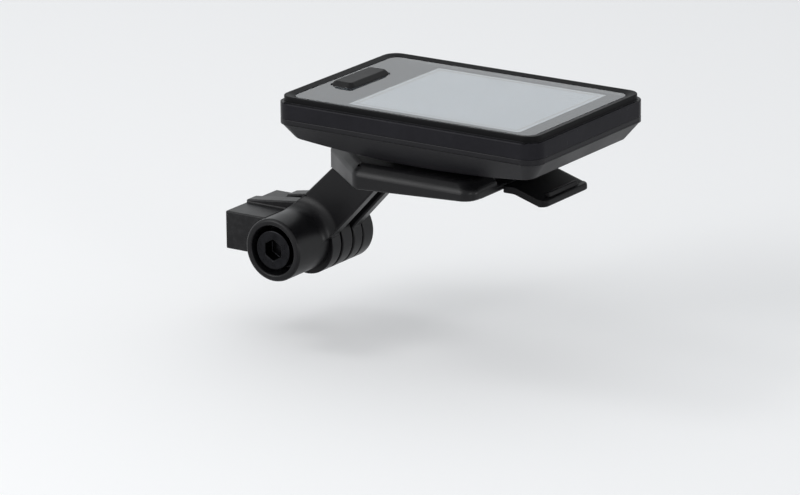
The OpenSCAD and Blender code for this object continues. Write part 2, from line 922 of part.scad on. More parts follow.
module display_glass() {
  color("#b4bcc4")
    at_head()
      translate([0, picture_y, 0]) {
        slab(glass_w, glass_l, glass_r, glass_z, under_z);
        slab(picture_w - 2 * face_gap, picture_l - 2 * face_gap, glass_r, under_z - cut, film_z - layer_gap);
      }
}

module backlight() {
  rear = strip_front + strip_inset;
  color("#e6ebee")
    at_head()
      block(-glass_w / 2, glass_w / 2, rear, glass_rear + glass_l, board_z, glass_z);
}

module contact_strip() {
  half = glass_w / 2 - strip_end;
  color("#4a4a52")
    at_head()
      block(-half, half, strip_rear, strip_front, board_z, glass_z);
}

module display_frame() {
  color("#e2e2e0")
    at_head()
      translate([0, picture_y, 0])
        ring(glass_w + 2 * (frame_t + face_gap), glass_l + 2 * (frame_t + face_gap),
          glass_r + frame_t + face_gap, frame_t, board_z, under_z);
}

module circuit_board() {
  notch_half = port_half + frame_gap;
  color("#1f5a36")
    at_head()
      difference() {
        slab(board_w, board_l, case_r - wall, board_under, board_z);
        block(-notch_half, notch_half, -case_l / 2, -board_notch, board_under - cut, board_z + cut);
        for (x = [-1, 1])
          translate([x * screw_x, screw_y, board_under - cut])
            cylinder(h = board_t + 2 * cut, r = post_r + swing_gap);
      }
}

// A chip on the underside of the board
module chip(x, y, w, l) {
  block(x - w / 2, x + w / 2, y - l / 2, y + l / 2, board_under - chip_h, board_under);
}

module board_chips() {
  row_front = cell_rear - chip_gap;
  radio_x = processor_x + processor_side / 2 + chip_gap + radio_side / 2;
  front_row = cell_front + cell_tab_reach + chip_gap / 2;
  color("#232325")
    at_head() {
      chip(processor_x, row_front - processor_side / 2, processor_side, processor_side);
      chip(radio_x, row_front - radio_side / 2, radio_side, radio_side);
      chip(-front_chip_x, front_row + memory_l / 2, memory_w, memory_l);
      chip(front_chip_x, front_row + crystal_l / 2, crystal_w, crystal_l);
    }
}

module antenna() {
  front = board_l / 2 - antenna_inset;
  rear = front - antenna_w;
  low = board_under - antenna_h;
  half = antenna_l / 2;
  color("#c9b27a")
    at_head() {
      block(-half, half, rear, front, low, low + sheet_t);
      for (x = [-half, half - sheet_t])
        block(x, x + sheet_t, rear, front, low, board_under);
    }
}

module buzzer() {
  color("#2a2a2c")
    at_head()
      translate([-buzzer_inner - buzzer_r, cell_rear - chip_gap - buzzer_r, board_under - buzzer_h])
        cylinder(h = buzzer_h, r = buzzer_r);
}

module key_switch() {
  half = switch_side / 2;
  top = flange_bottom - button_travel - face_gap;
  color("#c8c8cc")
    at_head()
      translate([0, switch_y, 0])
        difference() {
          block(-half, half, -half, half, board_z, top);
          translate([0, 0, board_z - cut])
            cylinder(h = top - board_z + 2 * cut, r = plunger_r + 2 * run_gap);
        }
}

module switch_plunger() {
  color("#e0e0e0")
    at_head()
      translate([0, switch_y, board_z + button_travel + face_gap])
        cylinder(h = flange_bottom - board_z - button_travel - face_gap, r = plunger_r);
}

module button_seal() {
  over = flange_over + seal_over;
  color("#303032")
    at_head()
      difference() {
        translate([0, button_y, 0])
          slab(button_l + 2 * over, button_w + 2 * over, button_r + over, under_z - seal_t, under_z);
        button_hole(under_z - seal_t - cut, under_z + cut);
      }
}

module button_cap() {
  color("#29292b")
    at_head()
      translate([0, button_y, 0]) {
        slab(button_l, button_w, button_r, flange_top - cut / 2, button_h - button_bevel);
        leaning_slab(button_l, button_w, button_r, button_bevel, button_h - button_bevel, button_h);
        slab(button_l + 2 * flange_over, button_w + 2 * flange_over, button_r + flange_over,
          flange_bottom, flange_top);
      }
}

module battery() {
  color("#b9bcc2")
    at_head()
      translate([0, cell_y, 0])
        slab(cell_w, cell_l, cell_r, cell_top - cell_t, cell_top);
}

module battery_pad() {
  color("#45454a")
    at_head()
      translate([0, cell_y, 0])
        slab(cell_w - 2 * pad_inset, cell_l - 2 * pad_inset, pad_r, cell_top, board_under);
}

module battery_tabs() {
  tab_x = cell_w / 4;
  half = cell_tab_w / 2;
  end = cell_front + cell_tab_reach;
  low = cell_top - 2 * sheet_t;
  color("#cfcfcf")
    at_head()
      for (x = [-tab_x, tab_x]) {
        block(x - half, x + half, cell_front, end, low, low + sheet_t);
        block(x - half, x + half, end - sheet_t, end, low, board_under);
      }
}

module charging_socket() {
  shell = sheet_t;
  color("#b0b2b6")
    at_head()
      difference() {
        block(-socket_w / 2, socket_w / 2, -socket_mouth, -socket_mouth + socket_len,
          socket_top - socket_h, socket_top);
        block(-socket_w / 2 + shell, socket_w / 2 - shell, -socket_mouth - cut,
          -socket_mouth + socket_len - 2 * shell, socket_top - socket_h + shell, socket_top - shell);
      }
}

module case_seal() {
  color("#38383a")
    at_head()
      seam_ring(seam_z, seam_z + groove_w);
}

// The notch in the rear edge that the port's cover fills, shrunk by a clearance
module port_notch(gap) {
  half = cover_w / 2 - gap;
  block(-half, half, -case_l, -port_wall - gap, cover_bottom + gap, cover_top - gap);
}

module bottom_cover() {
  hook_half = hook_w / 2;
  socket_half = socket_w / 2 + face_gap;
  socket_low = socket_top - socket_h;
  color("#242427")
    at_head()
      difference() {
        union() {
          difference() {
            union() {
              slab(case_w, case_l, case_r, lean_z, seam_z);
              bottom_solid(0);
            }
            slab(case_w - 2 * wall, case_l - 2 * wall, case_r - wall, lean_z, seam_z + cut);
            bottom_solid(wall);
          }
          intersection() {
            block(-port_half, port_half, -case_l / 2, -port_inner, floor_z, port_frame_top);
            union() {
              slab(case_w, case_l, case_r, lean_z, seam_z);
              bottom_solid(0);
            }
          }
          for (x = [-1, 1])
            intersection() {
              translate([x * screw_x, screw_y, floor_z])
                cylinder(h = screw_seat - floor_z, r = post_r + seat_over);
              bottom_solid(0);
            }
          for (x = [-1, 1]) {
            block(x * hook_x - hook_half, x * hook_x + hook_half, hook_front - hook_t, hook_front,
              lean_z - hook_root, under_z - hook_drop);
            hook_nib(x, 0);
          }
          block(-shoe_neck_w / 2, shoe_neck_w / 2, -shoe_len / 2, shoe_len / 2, shoe_top, floor_z + wall);
          block(-shoe_w / 2, shoe_w / 2, -shoe_len / 2, shoe_len / 2, shoe_bottom, shoe_top);
        }
        port_notch(0);
        block(-socket_half, socket_half, -case_l / 2, 0, socket_low - face_gap, socket_top + face_gap);
        for (x = [-1, 1])
          translate([x * screw_x, screw_y, 0]) {
            translate([0, 0, floor_z - cut])
              cylinder(h = under_head - floor_z + cut, r = screw_head_r + face_gap);
            translate([0, 0, under_head - cut])
              cylinder(h = seat_t + 2 * cut, r = screw_r + run_gap);
          }
      }
}

module case_screws() {
  color("#9a9a9e")
    at_head()
      for (x = [-1, 1])
        translate([x * screw_x, screw_y, under_head])
          difference() {
            union() {
              translate([0, 0, -screw_head_h])
                cylinder(h = screw_head_h, r = screw_head_r);
              translate([0, 0, -cut / 2])
                cylinder(h = screw_len + cut / 2, r = screw_r);
            }
            for (turn = [0, 90])
              rotate([0, 0, turn])
                block(-drive_l / 2, drive_l / 2, -drive_w / 2, drive_w / 2,
                  -screw_head_h - cut, -screw_head_h / 2);
          }
}

module port_cover() {
  plug_half = socket_w / 2 - 2 * sheet_t;
  plug_mid = socket_top - socket_h / 2;
  color("#2e2e30")
    at_head() {
      intersection() {
        bottom_solid(0);
        port_notch(cover_gap);
      }
      block(-plug_half, plug_half, -port_wall - cut, -port_wall + plug_len, plug_mid - plug_h / 2,
        plug_mid + plug_h / 2);
    }
}

stem_base();
base_inserts();
pivot_bolt();
bolt_washer();
pivot_nut();
friction_washers();
mount_arm();
latch_tongue();
release_tab();
top_cover();
lens();
lens_film();
display_glass();
backlight();
contact_strip();
display_frame();
circuit_board();
board_chips();
antenna();
buzzer();
key_switch();
button_seal();
battery();
battery_pad();
battery_tabs();
charging_socket();
case_seal();
bottom_cover();
case_screws();
button_cap();
switch_plunger();
port_cover();
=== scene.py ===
import json
import math

import bmesh
import bpy
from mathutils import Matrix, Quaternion, Vector

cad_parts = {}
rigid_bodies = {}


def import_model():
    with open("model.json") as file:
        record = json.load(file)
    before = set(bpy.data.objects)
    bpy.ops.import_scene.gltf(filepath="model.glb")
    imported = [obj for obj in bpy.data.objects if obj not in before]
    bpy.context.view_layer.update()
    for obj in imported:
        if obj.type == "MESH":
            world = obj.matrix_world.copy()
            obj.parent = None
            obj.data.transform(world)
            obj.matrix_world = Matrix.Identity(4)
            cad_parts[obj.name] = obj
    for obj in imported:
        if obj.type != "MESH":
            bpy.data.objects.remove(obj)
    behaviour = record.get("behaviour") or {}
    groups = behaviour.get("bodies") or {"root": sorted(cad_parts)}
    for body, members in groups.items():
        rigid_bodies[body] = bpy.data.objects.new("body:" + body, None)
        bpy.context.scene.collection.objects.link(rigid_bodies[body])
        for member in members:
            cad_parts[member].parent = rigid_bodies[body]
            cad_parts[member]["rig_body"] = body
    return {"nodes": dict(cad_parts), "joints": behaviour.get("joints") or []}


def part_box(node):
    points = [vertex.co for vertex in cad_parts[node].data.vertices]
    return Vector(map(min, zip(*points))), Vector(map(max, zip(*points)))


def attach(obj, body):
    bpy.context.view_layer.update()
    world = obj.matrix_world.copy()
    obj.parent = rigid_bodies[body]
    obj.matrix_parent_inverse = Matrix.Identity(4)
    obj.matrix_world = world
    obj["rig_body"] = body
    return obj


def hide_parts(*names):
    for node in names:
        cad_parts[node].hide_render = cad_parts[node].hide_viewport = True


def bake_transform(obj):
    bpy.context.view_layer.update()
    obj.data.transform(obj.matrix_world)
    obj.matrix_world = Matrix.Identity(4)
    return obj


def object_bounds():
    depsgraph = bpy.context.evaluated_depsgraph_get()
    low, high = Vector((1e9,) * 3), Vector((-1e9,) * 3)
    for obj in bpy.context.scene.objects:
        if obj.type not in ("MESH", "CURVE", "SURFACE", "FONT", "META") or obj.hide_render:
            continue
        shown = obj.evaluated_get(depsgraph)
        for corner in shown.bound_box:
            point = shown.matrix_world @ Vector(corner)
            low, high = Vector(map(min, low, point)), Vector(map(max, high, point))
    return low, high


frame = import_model()
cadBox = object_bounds()
nodes = frame["nodes"]
scene = bpy.context.scene
mm = 0.001
lensLow, lensHigh = (Vector(corner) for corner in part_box("lens"))
headPoint = Vector((0, (lensLow.y + lensHigh.y) / 2, lensHigh.z))  # middle of the lens's surface
hubAxis = next(Vector(j["pos_m"]) for j in frame["joints"] if j["name"] == "arm_tilt")
print("frame loaded:", len(nodes), "nodes")


# shader helpers

def addNode(tree, kind, values=None, **settings):
    node = tree.nodes.new("ShaderNode" + kind)
    for key, value in settings.items():
        setattr(node, key, value)
    for key, value in (values or {}).items():
        node.inputs[key].default_value = value
    return node


def feed(tree, socket, target):
    # a socket is linked, a plain value is set
    if isinstance(socket, bpy.types.NodeSocket):
        tree.links.new(socket, target)
    else:
        target.default_value = socket


def mathOf(tree, operation, a, b=0.0, clamp=False):
    node = addNode(tree, "Math", operation=operation, use_clamp=clamp)
    feed(tree, a, node.inputs[0])
    feed(tree, b, node.inputs[1])
    return node.outputs[0]


def rangeOf(tree, value, fromLow, fromHigh, toLow=0.0, toHigh=1.0):
    node = addNode(tree, "MapRange", {1: fromLow, 2: fromHigh, 3: toLow, 4: toHigh}, clamp=True)
    feed(tree, value, node.inputs[0])
    return node.outputs[0]


def blendColour(tree, factor, a, b):
    node = addNode(tree, "Mix", data_type="RGBA")
    feed(tree, factor, node.inputs[0])
    feed(tree, a if isinstance(a, bpy.types.NodeSocket) else (*a, 1), node.inputs[6])
    feed(tree, b if isinstance(b, bpy.types.NodeSocket) else (*b, 1), node.inputs[7])
    return node.outputs[2]


def newGroup(name, inputs, outputs):
    group = bpy.data.node_groups.new(name, "ShaderNodeTree")
    for label, value in inputs.items():
        socket = group.interface.new_socket(label, in_out="INPUT", socket_type="NodeSocketFloat")
        socket.default_value = value
    for label in outputs:
        group.interface.new_socket(label, in_out="OUTPUT", socket_type="NodeSocketFloat")
    return group, group.nodes.new("NodeGroupInput"), group.nodes.new("NodeGroupOutput")


def placeGroup(tree, group, values):
    node = tree.nodes.new("ShaderNodeGroup")
    node.node_tree = group
    for key, value in values.items():
        node.inputs[key].default_value = value
    return node.outputs


def onObject(tree, node):
    # the pattern keeps its place on the piece
    place = addNode(tree, "TexCoord")
    tree.links.new(place.outputs["Object"], node.inputs["Vector"])
    return node


grainLook = {"scale": 3000, "toneScale": 90, "tone": (0.3, 0.7)}
wearLook = {"scale": 900, "ridge": (0.52, 0.6), "patches": (0.42, 0.68)}
dustLook = {"scale": 1500, "upward": (0.2, 1.0), "specks": (0.5, 0.75), "colour": (0.32, 0.31, 0.29)}


def makeMouldedGrain():
    group, inputs, outputs = newGroup(
        "mouldedGrain", {"Grain Scale": grainLook["scale"], "Tone Scale": grainLook["toneScale"]},
        ["Height", "Tone"])
    pits = onObject(group, addNode(group, "TexVoronoi", feature="SMOOTH_F1", voronoi_dimensions="3D"))
    flow = onObject(group, addNode(group, "TexNoise", {"Detail": 4.0, "Roughness": 0.6}))
    group.links.new(inputs.outputs["Grain Scale"], pits.inputs["Scale"])
    group.links.new(inputs.outputs["Tone Scale"], flow.inputs["Scale"])
    group.links.new(pits.outputs["Distance"], outputs.inputs["Height"])
    group.links.new(rangeOf(group, flow.outputs[0], *grainLook["tone"]), outputs.inputs["Tone"])
    return group


def makeEdgeWear():
    group, inputs, outputs = newGroup("edgeWear", {"Amount": 0.3, "Scale": wearLook["scale"]}, ["Mask"])
    rub = onObject(group, addNode(group, "TexNoise", {"Detail": 5.0, "Roughness": 0.65}))
    group.links.new(inputs.outputs["Scale"], rub.inputs["Scale"])
    pointed = addNode(group, "NewGeometry").outputs["Pointiness"]
    ridge = rangeOf(group, pointed, *wearLook["ridge"])
    patches = rangeOf(group, rub.outputs[0], *wearLook["patches"])
    worn = mathOf(group, "MULTIPLY", ridge, patches)
    mask = mathOf(group, "MULTIPLY", worn, inputs.outputs["Amount"], True)
    group.links.new(mask, outputs.inputs["Mask"])
    return group


def makeFineDust():
    group, inputs, outputs = newGroup("fineDust", {"Amount": 0.05, "Scale": dustLook["scale"]}, ["Mask"])
    specks = onObject(group, addNode(group, "TexNoise", {"Detail": 6.0, "Roughness": 0.75}))
    group.links.new(inputs.outputs["Scale"], specks.inputs["Scale"])
    level = addNode(group, "SeparateXYZ")
    group.links.new(addNode(group, "NewGeometry").outputs["Normal"], level.inputs[0])
    upward = rangeOf(group, level.outputs[2], *dustLook["upward"])
    patches = rangeOf(group, specks.outputs[0], *dustLook["specks"])
    settled = mathOf(group, "MULTIPLY", upward, patches)
    mask = mathOf(group, "MULTIPLY", settled, inputs.outputs["Amount"], True)
    group.links.new(mask, outputs.inputs["Mask"])
    return group


mouldedGrain = makeMouldedGrain()
edgeWear = makeEdgeWear()
fineDust = makeFineDust()
print("node groups made")


# finishes

def startMaterial(name, sockets):
    material = bpy.data.materials.new(name)
    material.use_nodes = True
    shader = material.node_tree.nodes["Principled BSDF"]
    for key, value in sockets.items():
        shader.inputs[key].default_value = value
    return material, material.node_tree, shader


def addBump(tree, shader, height, strength, depth):
    bump = addNode(tree, "Bump", {"Strength": strength, "Distance": depth})
    tree.links.new(height, bump.inputs["Height"])
    tree.links.new(bump.outputs["Normal"], shader.inputs["Normal"])


def wornTone(colour, gain, lift):
    # a finish's lighter tone where its edges are rubbed
    return [min(1, gain * c + lift) for c in colour]


def moulded(name, dark, light, rough, grain=grainLook["scale"], bump=0.3, depth=0.02, wear=0.3, dust=0.04,
            specular=0.5):
    # plastic or rubber from a grained mould, depth in mm
    material, tree, shader = startMaterial(name, {"Specular IOR Level": specular})
    skin = placeGroup(tree, mouldedGrain, {"Grain Scale": grain})
    rubbed = placeGroup(tree, edgeWear, {"Amount": wear})
    settled = placeGroup(tree, fineDust, {"Amount": dust})
    colour = blendColour(tree, skin["Tone"], dark, light)
    colour = blendColour(tree, rubbed["Mask"], colour, wornTone(light, gain=2.2, lift=0.01))
    colour = blendColour(tree, settled["Mask"], colour, dustLook["colour"])
    tree.links.new(colour, shader.inputs["Base Color"])
    tree.links.new(rangeOf(tree, skin["Tone"], 0, 1, *rough), shader.inputs["Roughness"])
    addBump(tree, shader, skin["Height"], bump, depth * mm)
    return material


metalLook = {"streak": (0.3, 0.7), "wear": 0.4, "wearScale": 1200, "depth": 0.01}


def metal(name, dark, light, rough, stretch, scale=700, bump=0.1):
    # drawn or turned metal: noise stretched along the tool's path
    material, tree, shader = startMaterial(name, {"Metallic": 1.0})
    turn = onObject(tree, addNode(tree, "Mapping", {"Scale": stretch}))
    marks = addNode(tree, "TexNoise", {"Scale": scale, "Detail": 5.0, "Roughness": 0.6})
    tree.links.new(turn.outputs["Vector"], marks.inputs["Vector"])
    streak = rangeOf(tree, marks.outputs[0], *metalLook["streak"])
    rubbed = placeGroup(tree, edgeWear, {"Amount": metalLook["wear"], "Scale": metalLook["wearScale"]})
    colour = blendColour(tree, streak, dark, light)
    colour = blendColour(tree, rubbed["Mask"], colour, wornTone(light, gain=1.3, lift=0.02))
    tree.links.new(colour, shader.inputs["Base Color"])
    tree.links.new(rangeOf(tree, streak, 0, 1, *rough), shader.inputs["Roughness"])
    addBump(tree, shader, streak, bump, metalLook["depth"] * mm)
    return material


def makeLensClear():
    # clear plastic with faint smears
    look = {"tint": (0.97, 0.985, 0.99), "bend": 1.6, "scale": 60.0, "smear": (0.3, 0.75),
            "rough": (0.02, 0.06)}
    material, tree, shader = startMaterial("lensClear", {
        "Base Color": (*look["tint"], 1), "Transmission Weight": 1.0, "IOR": look["bend"]})
    smear = onObject(tree, addNode(tree, "TexNoise", {"Scale": look["scale"], "Detail": 4.0}))
    smeared = rangeOf(tree, smear.outputs[0], *look["smear"], *look["rough"])
    tree.links.new(smeared, shader.inputs["Roughness"])
    return material


def makeDisplayGrey():
    # light grey picture with a faint change of tone and a dark line inside its edges
    look = {"centre": (0, 58.5), "half": (16.9, 20.9), "line": (0.75, 1.4), "fade": 0.08,
            "dark": (0.195, 0.257, 0.318), "light": (0.225, 0.288, 0.35), "lineTone": (0.09, 0.105, 0.12),
            "rough": (0.25, 0.35), "specular": 0.4, "drift": 40}
    material, tree, shader = startMaterial("displayGrey", {"Specular IOR Level": look["specular"]})
    axes = onObject(tree, addNode(tree, "SeparateXYZ"))
    gaps = []
    for axis in (0, 1):
        off = mathOf(tree, "SUBTRACT", axes.outputs[axis], look["centre"][axis] * mm)
        gaps.append(mathOf(tree, "SUBTRACT", look["half"][axis] * mm, mathOf(tree, "ABSOLUTE", off)))
    edge = mathOf(tree, "MINIMUM", *gaps)
    inner, outer = (rangeOf(tree, edge, at * mm, (at + look["fade"]) * mm) for at in look["line"])
    line = mathOf(tree, "SUBTRACT", inner, outer, True)
    skin = placeGroup(tree, mouldedGrain, {"Tone Scale": look["drift"]})
    colour = blendColour(tree, skin["Tone"], look["dark"], look["light"])
    # a darker tone drawn in a line round the picture, 0.75 to 1.4 mm inside its edges
    colour = blendColour(tree, line, colour, look["lineTone"])
    tree.links.new(colour, shader.inputs["Base Color"])
    tree.links.new(rangeOf(tree, skin["Tone"], 0, 1, *look["rough"]), shader.inputs["Roughness"])
    return material


def makeBoardGreen():
    # solder mask over copper tracks
    look = {"dark": (0.012, 0.085, 0.035), "light": (0.02, 0.12, 0.05), "track": (0.035, 0.19, 0.08),
            "rough": (0.3, 0.42), "coat": 0.3, "drift": 120, "bump": 0.4, "depth": 0.03}
    material, tree, shader = startMaterial("boardGreen", {"Coat Weight": look["coat"]})
    tracks = addNode(tree, "TexBrick", {"Scale": 400.0, "Mortar Size": 0.12, "Brick Width": 1.9})
    onObject(tree, tracks)
    skin = placeGroup(tree, mouldedGrain, {"Tone Scale": look["drift"]})
    mask = blendColour(tree, skin["Tone"], look["dark"], look["light"])
    colour = blendColour(tree, tracks.outputs["Fac"], mask, look["track"])
    tree.links.new(colour, shader.inputs["Base Color"])
    tree.links.new(rangeOf(tree, skin["Tone"], 0, 1, *look["rough"]), shader.inputs["Roughness"])
    addBump(tree, shader, tracks.outputs["Fac"], look["bump"], look["depth"] * mm)
    return material


def makeStripedRubber():
    # conductive and insulating layers in turn along the strip
    look = {"dark": (0.02, 0.02, 0.022), "light": (0.16, 0.16, 0.2), "rough": 0.6, "scale": 1500.0,
            "bump": 0.3, "depth": 0.02}
    material, tree, shader = startMaterial("stripedRubber", {"Roughness": look["rough"]})
    layers = onObject(tree, addNode(tree, "TexWave", {"Scale": look["scale"]}, bands_direction="X"))
    colour = blendColour(tree, layers.outputs["Fac"], look["dark"], look["light"])
    tree.links.new(colour, shader.inputs["Base Color"])
    addBump(tree, shader, layers.outputs["Fac"], look["bump"], look["depth"] * mm)
    return material


finishes = {
    "case_upper": moulded("caseCharcoal", (0.0096, 0.0094, 0.0113), (0.013, 0.0127, 0.0152), (0.22, 0.28),
                          grain=4200, bump=0.12, depth=0.012, wear=0.25, specular=0.045),
    "rim": moulded("rimSatinBlack", (0.003, 0.003, 0.0034), (0.0045, 0.0045, 0.005), (0.4, 0.48),
                   grain=2600, bump=0.04, depth=0.01, wear=0.15, dust=0.0, specular=0.06),
    "case_lower": moulded("caseMattBlack", (0.007, 0.0068, 0.008), (0.0095, 0.0093, 0.0107), (0.34, 0.42),
                          grain=3600, bump=0.2, depth=0.02, wear=0.25, specular=0.13),
    "mount_plastic": moulded("mountGrainBlack", (0.0032, 0.0031, 0.0037), (0.005, 0.0049, 0.0056),
                             (0.32, 0.42), grain=3200, bump=0.25, depth=0.03, wear=0.45, dust=0.03,
                             specular=0.18),
    "tab_plastic": moulded("tabBlack", (0.003, 0.003, 0.0035), (0.005, 0.0049, 0.0055), (0.36, 0.44),
                           grain=3600, bump=0.2, depth=0.02, wear=0.35, dust=0.01, specular=0.1),
    "button_rubber": moulded("buttonRubber", (0.0035, 0.0034, 0.004), (0.0055, 0.0054, 0.0062),
                             (0.42, 0.52), grain=4200, bump=0.25, depth=0.02, wear=0.2, specular=0.14),
    "film": moulded("filmBlackPrint", (0.008, 0.018, 0.028), (0.011, 0.022, 0.033), (0.3, 0.36),
                    grain=6000, bump=0.02, depth=0.002, wear=0.0, dust=0.0),
    "light_panel": moulded("milkyPanel", (0.74, 0.77, 0.79), (0.8, 0.83, 0.85), (0.3, 0.4), bump=0.05,
                           wear=0.0, dust=0.0),
    "frame_plastic": moulded("frameWhite", (0.66, 0.66, 0.64), (0.74, 0.74, 0.72), (0.42, 0.52)),
    "chip": moulded("chipBlack", (0.014, 0.014, 0.014), (0.024, 0.024, 0.024), (0.5, 0.62), grain=6000),
    "nylon": moulded("naturalNylon", (0.6, 0.58, 0.5), (0.7, 0.68, 0.6), (0.4, 0.5)),
    "foam": moulded("closedCellFoam", (0.045, 0.045, 0.052), (0.065, 0.065, 0.075), (0.8, 0.92),
                    grain=2200, bump=0.8, depth=0.1, wear=0.0),
    "seal": moulded("sealRubber", (0.02, 0.02, 0.02), (0.03, 0.03, 0.03), (0.55, 0.68), grain=4500),
    "nickel": metal("nickelSheet", (0.52, 0.51, 0.49), (0.66, 0.65, 0.63), (0.22, 0.36), (1, 12, 1)),
    "brass": metal("turnedBrass", (0.62, 0.44, 0.17), (0.76, 0.57, 0.26), (0.2, 0.34), (1, 14, 1)),
    "bolt_black": metal("boltBlackOxide", (0.009, 0.009, 0.01), (0.016, 0.016, 0.018), (0.24, 0.34),
                        (14, 1, 1)),
    "steel": metal("zincSteel", (0.44, 0.45, 0.46), (0.58, 0.58, 0.59), (0.24, 0.38), (10, 1, 1)),
    "cell": metal("foilPouch", (0.55, 0.56, 0.58), (0.68, 0.69, 0.71), (0.3, 0.45), (1, 1, 1), 260, 0.35),
    "lens": makeLensClear(),
    "display": makeDisplayGrey(),
    "board": makeBoardGreen(),
    "elastomer": makeStripedRubber(),
}
print("finishes made:", len(finishes))


# pieces from the frame, merged and given rounded edges

rounding = {"merge": 0.003, "flat": 0.4, "segments": 3}


def mergedCopy(node, name):
    # a node's mesh is loose triangles, so its copy is merged before it is shaped
    mesh = nodes[node].data.copy()
    mesh.name = name
    if "custom_normal" in mesh.attributes:
        mesh.attributes.remove(mesh.attributes["custom_normal"])
    bm = bmesh.new()
    bm.from_mesh(mesh)
    bmesh.ops.remove_doubles(bm, verts=bm.verts[:], dist=rounding["merge"] * mm)
    return mesh, bm


def addPiece(bm, mesh, node, bends=False):
    # the piece takes the node's place, and rides on its body unless it bends
    bm.to_mesh(mesh)
    bm.free()
    piece = bpy.data.objects.new(mesh.name, mesh)
    scene.collection.objects.link(piece)
    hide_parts(node)
    if not bends:
        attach(piece, nodes[node]["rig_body"])
    return piece


def roundedCopy(node, name, slot, widths, extra=None, bends=False, sharp=24, shape=None):
    # widths: a list of (test on an edge's middle in mm, rounding in mm), first match wins
    # extra: a test on a face's middle and the finish of the faces that pass it
    # sharp: the least angle in degrees that is rounded
    mesh, bm = mergedCopy(node, name)
    bmesh.ops.dissolve_limit(bm, angle_limit=math.radians(rounding["flat"]),
                             verts=bm.verts[:], edges=bm.edges[:])
    bmesh.ops.connect_verts_concave(bm, faces=bm.faces[:])
    if shape:
        shape(bm)
    weight = bm.edges.layers.float.new("bevel_weight_edge")
    widest = max(width for test, width in widths)
    for edge in bm.edges:
        if len(edge.link_faces) == 2 and edge.calc_face_angle(0) > math.radians(sharp):
            middle = (edge.verts[0].co + edge.verts[1].co) / 2 / mm
            edge[weight] = next((w for test, w in widths if test(middle)), 0) / widest
            edge.smooth = edge[weight] > 0
    for face in bm.faces:
        face.smooth = True
        face.material_index = 0
    mesh.materials.clear()
    mesh.materials.append(finishes[slot])
    if extra:
        mesh.materials.append(finishes[extra[1]])
        for face in bm.faces:
            face.material_index = int(extra[0](face.calc_center_median() / mm))
    piece = addPiece(bm, mesh, node, bends)
    bevel = piece.modifiers.new("rounding", "BEVEL")
    bevel.limit_method = "WEIGHT"
    bevel.width = widest * mm
    bevel.segments = rounding["segments"]
    bevel.use_clamp_overlap = False
    bevel.loop_slide = False
    bevel.harden_normals = True
    shade = piece.modifiers.new("flatShade", "WEIGHTED_NORMAL")
    shade.keep_sharp = True
    return piece


def anywhere(point):
    return True


top = headPoint / mm  # the same point in mm

shell = {"ledgeEdge": 0.25, "crest": 0.2, "seam": 0.14, "ledgeFoot": 1.1, "rimFoot": 0.85, "reach": 0.1}
coverLow, coverHigh = (Vector(corner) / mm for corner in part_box("top_cover"))


def onLedgeEdge(point):
    # the outer edge of the ledge round the rim
    fromSide = min(*(point - coverLow).xy, *(coverHigh - point).xy)
    return point.z > top.z - shell["ledgeFoot"] and fromSide < shell["reach"]


def onCrest(point):
    return point.z > top.z


def isRim(point):
    return point.z > top.z - shell["rimFoot"]


arm = {"bossEnd": 16.9, "bossRim": 6.2, "flare": (5.6, 9), "flareEnd": 7.7, "flareNear": 9,
       "trayTop": 20.8, "shoeHalf": 9, "shoeRear": 39, "sharp": 32,
       "bossEdge": 0.7, "flareEdge": 0.2, "trayEdge": 0.6, "edge": 0.4}


def fromHub(point):
    return math.hypot(point.y - hubAxis.y / mm, point.z - hubAxis.z / mm)


def onBossEnd(point):
    # the outer edge of the barrel's open end
    return point.x > arm["bossEnd"] and fromHub(point) > arm["bossRim"]


def atFlareEnd(point):
    # where the barrel's flare runs out, too shallow to round
    return arm["flare"][0] < point.x < arm["flare"][1] and fromHub(point) < arm["flareEnd"]


def nearFlareEnd(point):
    return arm["flare"][0] < point.x < arm["flare"][1] and fromHub(point) < arm["flareNear"]


def onTrayTop(point):
    # the bevel round the tray, outside the shoe's way
    return point.z > arm["trayTop"] and (abs(point.x) > arm["shoeHalf"] or point.y < arm["shoeRear"])


tab = {"corner": 1.4, "reach": 2.4, "cuts": (0, 22, 45, 65, 80), "slack": 0.1, "edge": 0.2}
tabTip = Vector(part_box("release_tab")[1]) / mm


def onTabCorner(point):
    # the drawn-back corners are round already
    return point.y > tabTip.y - tab["reach"] and abs(point.x) > tabTip.x - tab["corner"] - tab["slack"]


def roundTabCorners(bm):
    # the tip's two corners drawn back onto an arc, seen from above
    high, radius, reach = tabTip * mm, tab["corner"] * mm, tab["reach"] * mm
    for side in (-1, 1):
        for turn in tab["cuts"]:
            place = high.x - radius * (1 - math.sin(math.radians(turn)))
            bmesh.ops.bisect_plane(bm, geom=bm.verts[:] + bm.edges[:] + bm.faces[:],
                                   plane_co=(side * place, 0, 0), plane_no=(1, 0, 0))
    for vert in bm.verts:
        over = abs(vert.co.x) - (high.x - radius)
        start = high.y - reach
        if over > 0 and vert.co.y > start:
            drawn = radius - math.sqrt(max(0, radius ** 2 - over ** 2))
            vert.co.y = start + (vert.co.y - start) * (1 - drawn / reach)


# the rounding of every edge of a plain piece, in mm, and the latch's bending length in metres
edgeOf = {"lowerShell": 0.16, "buttonPad": 0.2, "portPlug": 0.15, "baseKnuckle": 0.3, "hubBolt": 0.25,
          "lidScrews": 0.1}
latch = {"edge": 0.1, "start": (0, 0.0572, 0.0198), "end": (0, 0.0702, 0.0198)}

